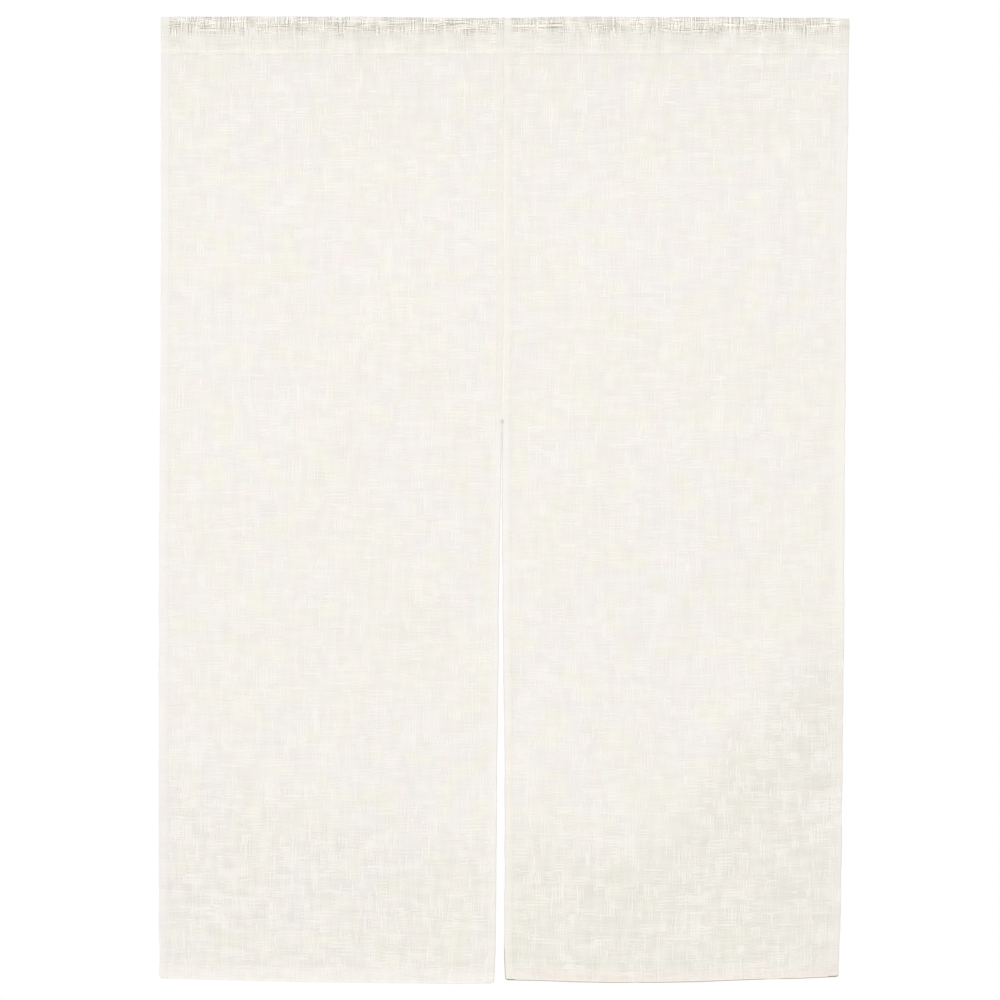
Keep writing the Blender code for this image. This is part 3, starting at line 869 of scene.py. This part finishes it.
    def surface(self, colour, normal, roughness, through):
        """Cloth that reflects softly and lets some light through."""
        face = self.nodes.new("ShaderNodeBsdfPrincipled")
        face.inputs["Roughness"].default_value = roughness
        face.inputs["Specular IOR Level"].default_value = 0.2
        self.links.new(colour, face.inputs["Base Color"])
        self.links.new(normal, face.inputs["Normal"])
        end = self.nodes.new("ShaderNodeOutputMaterial")
        if through <= 0:
            self.links.new(face.outputs[0], end.inputs["Surface"])
            return self.material
        light = self.nodes.new("ShaderNodeBsdfTranslucent")
        self.links.new(colour, light.inputs["Color"])
        self.links.new(normal, light.inputs["Normal"])
        both = self.nodes.new("ShaderNodeMixShader")
        both.inputs[0].default_value = through
        self.links.new(face.outputs[0], both.inputs[1])
        self.links.new(light.outputs[0], both.inputs[2])
        self.links.new(both.outputs[0], end.inputs["Surface"])
        return self.material


CREAM = (0.829, 0.803, 0.749)
WHITER = (0.827, 0.801, 0.773)
YELLOW = (0.833, 0.808, 0.735)
PINK = (0.844, 0.793, 0.758)
FOOT_YELLOW = (0.828, 0.804, 0.728)
HEM_CREAM = (0.878, 0.857, 0.818)
HEM_PINK = (0.886, 0.850, 0.811)
SEAM_PLAIN = (0.860, 0.836, 0.773)
SEAM_CREAM = (0.882, 0.855, 0.784)
EDGE_SHADE = (0.600, 0.580, 0.545)
FOOT_EDGE_SHADOW = (0.445, 0.370, 0.280)
POCKET = (0.876, 0.851, 0.783)
OLIVE_GAP_SHADE = (0.405, 0.370, 0.290)
REDDISH_GAP_SHADE = (0.440, 0.360, 0.285)
BAND = (0.864, 0.840, 0.764)
BAND_PINK = (0.886, 0.838, 0.774)
SLUB = (0.862, 0.839, 0.789)
THREAD = (0.878, 0.856, 0.808)


def cloth_material(panel, grid):
    """Open plain weave of slub yarn, from the cloth's flat coordinates in millimetres."""
    t = Tree(panel["name"] + "_weave")
    u, v = t.uv("cloth_flat")
    width, top = grid["width"], grid["top"]
    seed = panel["seed"] * 3.7
    # the yarns, with thick and thin stretches
    x, y = t.math("DIVIDE", u, YARN), t.math("DIVIDE", v, YARN)
    i, j = t.math("FLOOR", x), t.math("FLOOR", y)
    weft = t.noise(t.add(t.mul(u, 1 / 19.0), seed), t.mul(j, 5.37))
    warp = t.noise(t.mul(i, 5.37), t.add(t.mul(v, 1 / 23.0), seed))
    weft_half = t.math("MULTIPLY_ADD", weft, 0.42, 0.17)
    warp_half = t.math("MULTIPLY_ADD", warp, 0.42, 0.17)
    across_warp = t.math("DIVIDE", t.math("ABSOLUTE", t.sub(t.math("FRACT", x), 0.5)), warp_half)
    across_weft = t.math("DIVIDE", t.math("ABSOLUTE", t.sub(t.math("FRACT", y), 0.5)), weft_half)
    round_warp = t.math("SQRT", t.math("MAXIMUM", t.sub(1.0, t.mul(across_warp, across_warp)), 0.0))
    round_weft = t.math("SQRT", t.math("MAXIMUM", t.sub(1.0, t.mul(across_weft, across_weft)), 0.0))
    sin_x, sin_y = t.math("SINE", t.mul(x, math.pi)), t.math("SINE", t.mul(y, math.pi))
    warp_up = t.mul(t.math("SIGN", sin_x), sin_y)
    weft_up = t.mul(t.math("SIGN", sin_y), t.mul(sin_x, -1.0))
    high_warp = t.mul(round_warp, t.math("MULTIPLY_ADD", warp_up, 0.34, 0.66))
    high_weft = t.mul(round_weft, t.math("MULTIPLY_ADD", weft_up, 0.34, 0.66))
    height = t.math("MAXIMUM", high_warp, high_weft)
    # runs of thick yarn and the thin gaps beside them, in patches
    lane = 1.24
    weft_lane, warp_lane = t.math("FLOOR", t.mul(v, 1 / lane)), t.math("FLOOR", t.mul(u, 1 / lane))
    along_u, along_v = t.add(t.mul(u, 1 / 13.0), seed), t.add(t.mul(v, 1 / 14.0), seed)
    weft_run = t.noise(along_u, t.mul(weft_lane, 3.71))
    weft_next = t.noise(along_u, t.mul(t.add(weft_lane, 1.0), 3.71))
    warp_run = t.noise(t.mul(warp_lane, 3.71), along_v)
    warp_next = t.noise(t.mul(t.add(warp_lane, 1.0), 3.71), along_v)
    patch = t.step(t.noise(t.mul(u, 1 / 34.0), t.add(t.mul(v, 1 / 30.0), seed), 1.0), 0.38, 0.60)
    bright = t.math("MAXIMUM", t.step(weft_run, 0.60, 0.72), t.step(warp_run, 0.61, 0.73))
    dark = t.math("MAXIMUM", t.step(weft_next, 0.60, 0.72), t.step(warp_next, 0.61, 0.73))
    # short runs in groups of one to four side by side, with the ground darker between them
    runs = 0.0
    for length, wide, pitch, share, size in ((11.0, 5.2, 2.5, 0.44, 1.08), (21.0, 8.7, 3.4, 0.42, 1.05), (33.0, 13.0, 5.0, 0.40, 0.70)):
        for along, across, number in ((u, v, 3.3), (v, u, 8.8)):
            runs = t.math("MULTIPLY_ADD", t.dashes(along, across, length, wide, pitch, share, seed + number + length), size, runs)
    # broad soft streaks of closer and more open cloth
    streak = t.add(t.noise(t.mul(u, 1 / 30.0), t.math("MULTIPLY_ADD", v, 1 / 9.0, seed)), t.noise(t.math("MULTIPLY_ADD", u, 1 / 9.5, seed), t.mul(v, 1 / 32.0)))
    # zones of the cloth, by its flat coordinates
    side = t.math("MINIMUM", t.sub(u, panel["left_hem"]), t.sub(width - panel["right_hem"], u))
    side_hem = t.step(side, 0.4, -0.4)
    bottom_hem = t.step(v, BOTTOM_HEM + 0.4, BOTTOM_HEM - 0.4)
    hem = t.math("MAXIMUM", side_hem, bottom_hem)
    from_top = t.math("ABSOLUTE", t.sub(v, top))
    ragged = t.math("MULTIPLY_ADD", t.noise(t.mul(u, 1 / 9.0), seed), 9.0, t.math("MULTIPLY_ADD", t.noise(t.mul(u, 1 / 1.7), seed + 3), 13.0, -11.0))
    in_left = t.sub(u, panel["left_hem"])
    band = t.mul(t.step(t.add(from_top, ragged), 29.0, 21.0), t.step(in_left, -1.2, 0.6))
    pocket = t.mul(t.step(v, grid["pocket_line"] - 1.0, grid["pocket_line"] + 1.0), t.step(v, grid["flap_end"], grid["flap_end"] - 1.0))
    # the foot zone, below an edge that slopes across the panel: it takes painted shade, a yellower tint and a stronger
    # weave
    rise, foot_shade_base, foot_shade_amount = panel["foot_shade"]
    foot_shade_edge = t.math("MULTIPLY_ADD", t.math("MAXIMUM", t.math("MULTIPLY_ADD", u, rise[0], rise[1]), 0.0), 1.0, foot_shade_base)
    foot = t.step(t.sub(v, foot_shade_edge), 60.0, -50.0)
    # colour
    hue = t.noise(t.add(t.mul(u, 1 / 42.0), seed), t.mul(v, 1 / 36.0), 1.5)
    broad = t.noise(t.add(t.mul(u, 1 / 150.0), seed), t.mul(v, 1 / 170.0), 2.0)
    blush = t.noise(t.add(t.mul(u, 1 / 26.0), seed + 9), t.mul(v, 1 / 22.0), 0.5)
    colour = t.mix(t.step(broad, 0.40, 0.60), CREAM, WHITER)
    colour = t.mix(t.step(hue, 0.48, 0.68), colour, YELLOW)
    colour = t.mix(t.mul(t.step(blush, 0.62, 0.72), t.step(broad, 0.35, 0.50)), colour, PINK)
    hems = t.mix(t.step(t.noise(t.mul(u, 1 / 60.0), t.add(t.mul(v, 1 / 60.0), seed + 4)), 0.42, 0.62), HEM_CREAM, HEM_PINK)
    peach = t.step(t.noise(t.add(t.mul(u, 1 / 24.0), seed), t.mul(v, 1 / 14.0), 1.0), 0.36, 0.58)
    to_side = u if panel["slit_side"] == "right" else t.sub(width, u)
    lower, upper, reach = panel["outer_hem"]
    own = t.mix(t.step(v, 320.0, 420.0), lower, upper)
    hems = t.mix(t.mul(t.mul(t.step(to_side, SIDE_HEM + 0.4, SIDE_HEM - 0.4), t.step(v, reach + 40.0, reach - 40.0)), 0.9), hems, own)
    hems = t.mix(t.mul(bottom_hem, t.math("MULTIPLY_ADD", peach, 0.75, 0.25)), hems, panel["foot_hem"])
    # where the panels are sewn together the left one's hem is as plain as the cloth, the right one's creamier
    to_slit = t.sub(width, u) if panel["slit_side"] == "right" else u
    at_slit = t.step(to_slit, SLIT_HEM + 0.4, SLIT_HEM - 0.4)
    seam = t.mul(at_slit, t.step(v, HEIGHT - SEAM_END - 30.0, HEIGHT - SEAM_END + 60.0))
    slit_hem, warm_high, warm_low, warm_share, less_dark = panel["slit_hem"]
    hems = t.mix(t.mul(t.mul(at_slit, t.step(v, warm_high, warm_low)), warm_share), hems, slit_hem)
    hems = t.mix(seam, hems, SEAM_PLAIN if panel["slit_side"] == "right" else SEAM_CREAM)
    colour = t.mix(t.mul(foot, panel["foot_tint"]), colour, FOOT_YELLOW)
    colour = t.mix(t.mul(hem, 0.9), colour, hems)
    colour = t.mix(t.mul(pocket, 0.9), colour, POCKET)
    reddish = t.step(t.noise(t.add(t.mul(u, 1 / 11.0), seed + 2), t.mul(v, 1 / 8.0), 1.0), 0.42, 0.62)
    colour = t.mix(band, colour, t.mix(reddish, BAND, BAND_PINK))
    # light and dark of the weave, beginning with painted shade where its yarns dip
    painted_shade = t.math("MULTIPLY_ADD", height, 0.014, 0.988)
    # painted shade: the pocket darker towards the rod, and a painted shadow on the cloth just under it
    from_line = t.sub(v, grid["pocket_line"])
    painted_shade = t.mul(painted_shade, t.sub(1.0, t.mul(t.mul(pocket, t.step(from_line, 2.0, 30.0)), t.math("MULTIPLY_ADD", t.step(in_left, 0.4, -0.4), -0.028, 0.061))))
    shadow_under_pocket = t.math("MULTIPLY_ADD", t.step(from_line, -190.0, -60.0), 0.014, t.mul(t.step(from_line, -44.0, -8.0), 0.012))
    painted_shade = t.mul(painted_shade, t.sub(1.0, t.mul(t.step(from_line, 0.5, -1.0), shadow_under_pocket)))
    quiet = t.mul(t.math("MULTIPLY_ADD", hem, -0.45, 1.0), t.math("MULTIPLY_ADD", foot, 0.68, 1.0))
    quiet = t.mul(quiet, t.math("MULTIPLY_ADD", bottom_hem, 0.5, 1.0))
    quiet = t.mul(quiet, t.math("MULTIPLY_ADD", pocket, 0.95, 1.0))
    # in the band round the rod the weave's light and dark are several times stronger, part of the painted shade there
    strong = t.math("MULTIPLY_ADD", band, 3.4, 1.0)
    lift = t.mul(t.mul(t.math("MULTIPLY_ADD", patch, 0.022, 0.008), quiet), strong)
    sink = t.mul(t.mul(t.math("MULTIPLY_ADD", patch, -0.022, -0.010), quiet), strong)
    shade = t.add(t.add(painted_shade, t.mul(bright, lift)), t.mul(dark, sink))
    shade = t.add(shade, t.mul(runs, t.mul(t.mul(quiet, strong), 0.0275)))
    shade = t.add(shade, t.mul(t.sub(streak, 1.0), t.mul(quiet, t.math("MULTIPLY_ADD", band, 0.10, 0.045))))
    # painted shade: darker towards the foot, less so on the free slit hem
    shade = t.mul(shade, t.math("MULTIPLY_ADD", t.mul(foot, t.math("MULTIPLY_ADD", at_slit, -less_dark, 1.0)), -foot_shade_amount, 1.0))
    shade = t.mul(shade, t.math("MULTIPLY_ADD", bottom_hem, 0.026, 1.0))
    free_hem = t.mul(at_slit, t.step(v, HEIGHT - SEAM_END + 20.0, HEIGHT - SEAM_END - 20.0))
    shade = t.mul(shade, t.math("MULTIPLY_ADD", free_hem, 0.016, 1.0))
    colour = t.brighten(colour, shade)
    # painted shade: in the band round the rod the gaps between the yarns are painted dark olive and reddish as the dim
    # inside of the pocket seen through them, less at the hems and the very top
    holes = t.mul(t.mul(band, t.math("MAXIMUM", t.step(height, 0.50, 0.20), t.step(runs, -0.25, -0.75))), t.math("MULTIPLY_ADD", at_slit, -0.22, t.math("MULTIPLY_ADD", side_hem, -0.22, 0.66)))
    over = t.step(from_top, 6.5, 4.5)
    colour = t.mix(t.mul(holes, t.math("MULTIPLY_ADD", over, -0.6, 1.0)), colour, t.mix(reddish, OLIVE_GAP_SHADE, REDDISH_GAP_SHADE))
    # painted shade: a thin darker line in stretches where the cloth turns over at the top
    colour = t.mix(t.mul(t.mul(over, t.step(in_left, -1.2, 0.6)), t.mul(t.step(t.noise(t.mul(u, 1 / 26.0), seed + 6), 0.44, 0.54), 0.42)), colour, EDGE_SHADE)
    # the outermost folds: a thin line of painted shade where they hang free, a painted highlight on the ridge where
    # they are sewn together
    head = HEIGHT - SEAM_END
    ridge_highlight = t.mul(t.step(to_slit, 2.6, 0.4), t.step(v, head - 4.0, head + 16.0))
    colour = t.brighten(colour, t.math("MULTIPLY_ADD", t.mul(ridge_highlight, t.step(from_top, 22.0, 30.0)), 0.070, 1.0))
    free_slit = t.mul(t.step(t.math("ABSOLUTE", to_slit), 1.15, 0.45), t.step(v, head + 2.0, head - 10.0))
    free_side = t.mul(t.step(t.math("ABSOLUTE", to_side), 1.15, 0.45), panel["side_shade_line"])
    colour = t.mix(t.math("MAXIMUM", t.mul(free_slit, 0.50), free_side), colour, EDGE_SHADE)
    # painted shadow: a brown line in stretches along the bottom fold, and up the slit edge at the bottom corner
    if panel["foot_shadow_line"]:
        stretch = t.step(t.noise(t.math("MULTIPLY_ADD", u, 1 / 46.0, 3.1), seed), 0.30, 0.44)
        corner = t.mul(t.step(t.math("ABSOLUTE", to_slit), 1.15, 0.45), t.step(v, 46.0, 34.0))
        brown = t.math("MAXIMUM", t.mul(t.step(t.math("ABSOLUTE", v), 1.35, 0.55), t.math("MULTIPLY_ADD", stretch, 0.75, 0.25)), corner)
        colour = t.mix(t.mul(brown, panel["foot_shadow_line"]), colour, FOOT_EDGE_SHADOW)
    # above it the fold catches the light
    colour = t.brighten(colour, t.math("MULTIPLY_ADD", t.mul(t.step(v, 0.8, 1.5), t.step(v, 3.0, 2.0)), 0.060, 1.0))
    # relief: the weave and its thick yarns
    run_height = t.math("MULTIPLY_ADD", bright, 0.40, t.mul(height, 0.8))
    return t.surface(colour, t.bump(run_height, 0.20, 0.25), 0.88, 0.05)


def yarn_material(name, colour, spread, twist, through):
    """Twisted yarn: a tone for each strand, fibres along it and twist lines across."""
    t = Tree(name)
    u, v = t.uv("yarn")
    tone = t.chance(t.math("FLOOR", v))
    turn = t.math("FRACT", v)
    ply = t.math("SINE", t.mul(t.add(t.mul(u, 1 / twist), t.mul(turn, 1.4)), 2 * math.pi))
    fibre = t.noise(t.mul(u, 0.35), t.mul(v, 9.0), 2.0)
    base = t.mix(tone, tuple(c * (1 - spread) for c in colour), tuple(min(c * (1 + spread), 0.95) for c in colour))
    shade = t.math("MULTIPLY_ADD", ply, 0.012, t.math("MULTIPLY_ADD", fibre, 0.06, 0.97))
    height = t.math("MULTIPLY_ADD", ply, 0.35, fibre)
    return t.surface(t.brighten(base, shade), t.bump(height, 0.4, 0.12), 0.82, through)


# ---------------------------------------------------------------- everything in place
def dress():
    yarn = yarn_material("slub_yarn", SLUB, 0.012, 1.6, 0.0)
    cotton = yarn_material("sewing_thread", THREAD, 0.010, 0.8, 0.0)
    grids = []
    for panel in PANELS:
        grid = build_grid(panel)
        grids.append(grid)
        cloth = cloth_object(panel, grid, cloth_material(panel, grid))
        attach(cloth, "root")
        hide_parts(panel["name"])
        parts = [
            slubs(panel, grid, True, 1750, yarn),
            slubs(panel, grid, False, 1850, yarn),
            thread(panel, grid, cotton),
        ]
        for part in parts:
            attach(part, "root")
        if panel["name"] == "panel_right":
            seam = seam_thread(grids, cotton)
            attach(seam, "root")
    return grids


def floor():
    """A plain pale floor some way below the curtain."""
    steps = 96
    rings = (0.0, 1.4, 2.8, 3.9, 4.2)
    verts, faces = [], []
    for number, radius in enumerate(rings[1:]):
        for k in range(steps):
            angle = 2 * math.pi * k / steps
            verts.append((radius * math.cos(angle), radius * math.sin(angle), -1.85 - (0.02 if number == 3 else 0.0)))
    for number in range(len(rings) - 2):
        for k in range(steps):
            a, b = number * steps + k, number * steps + (k + 1) % steps
            faces.append((a, a + steps, b + steps, b))
    mesh = bpy.data.meshes.new("floor")
    mesh.from_pydata(verts, [], faces + [tuple(range(steps))])
    mesh.update()
    made = bpy.data.objects.new("floor", mesh)
    bpy.context.scene.collection.objects.link(made)
    t = Tree("floor_paint")
    shader = t.nodes.new("ShaderNodeBsdfPrincipled")
    end = t.nodes.new("ShaderNodeOutputMaterial")
    t.links.new(shader.outputs[0], end.inputs["Surface"])
    shader.inputs["Base Color"].default_value = (0.80, 0.80, 0.79, 1.0)
    shader.inputs["Roughness"].default_value = 0.9
    mesh.materials.append(t.material)


def light(name, place, target, size, power, colour=(1.0, 1.0, 1.0)):
    data = bpy.data.lights.new(name, "AREA")
    data.shape, data.size, data.size_y = "RECTANGLE", size[0], size[1]
    data.energy, data.color = power, colour
    made = bpy.data.objects.new(name, data)
    made.location = place
    aim = np.array(target) - np.array(place)
    made.rotation_mode = "QUATERNION"
    from mathutils import Vector

    made.rotation_quaternion = Vector(aim).to_track_quat("-Z", "Y")
    bpy.context.scene.collection.objects.link(made)
    return made


def studio():
    world = bpy.data.worlds.new("studio")
    world.use_nodes = True
    back = world.node_tree.nodes["Background"]
    back.inputs["Color"].default_value = (1.0, 1.0, 1.0, 1.0)
    back.inputs["Strength"].default_value = 1.0
    bpy.context.scene.world = world
    light("key", (0.05, -2.3, -0.40), (0.0, 0.0, -0.42), (0.9, 0.9), 4.7)
    light("side", (-8.6, -4.8, 3.4), (0.0, 0.0, -0.5), (2.8, 2.8), 156.0)
    bpy.context.scene.view_settings.view_transform = "Standard"
    bpy.context.scene.view_settings.look = "None"


def camera():
    data = bpy.data.cameras.new("camera")
    data.sensor_width, data.lens = 36.0, 36.0 * 5.0 / 1.2373
    data.clip_start, data.clip_end = 0.1, 50.0
    made = bpy.data.objects.new("camera", data)
    made.location = (-0.0043, -5.0 - 0.0021, -0.5983)
    made.rotation_euler = (math.pi / 2, 0.0, 0.0)
    bpy.context.scene.collection.objects.link(made)
    bpy.context.scene.camera = made


camera()
dress()
floor()
studio()
bpy.context.view_layer.update()
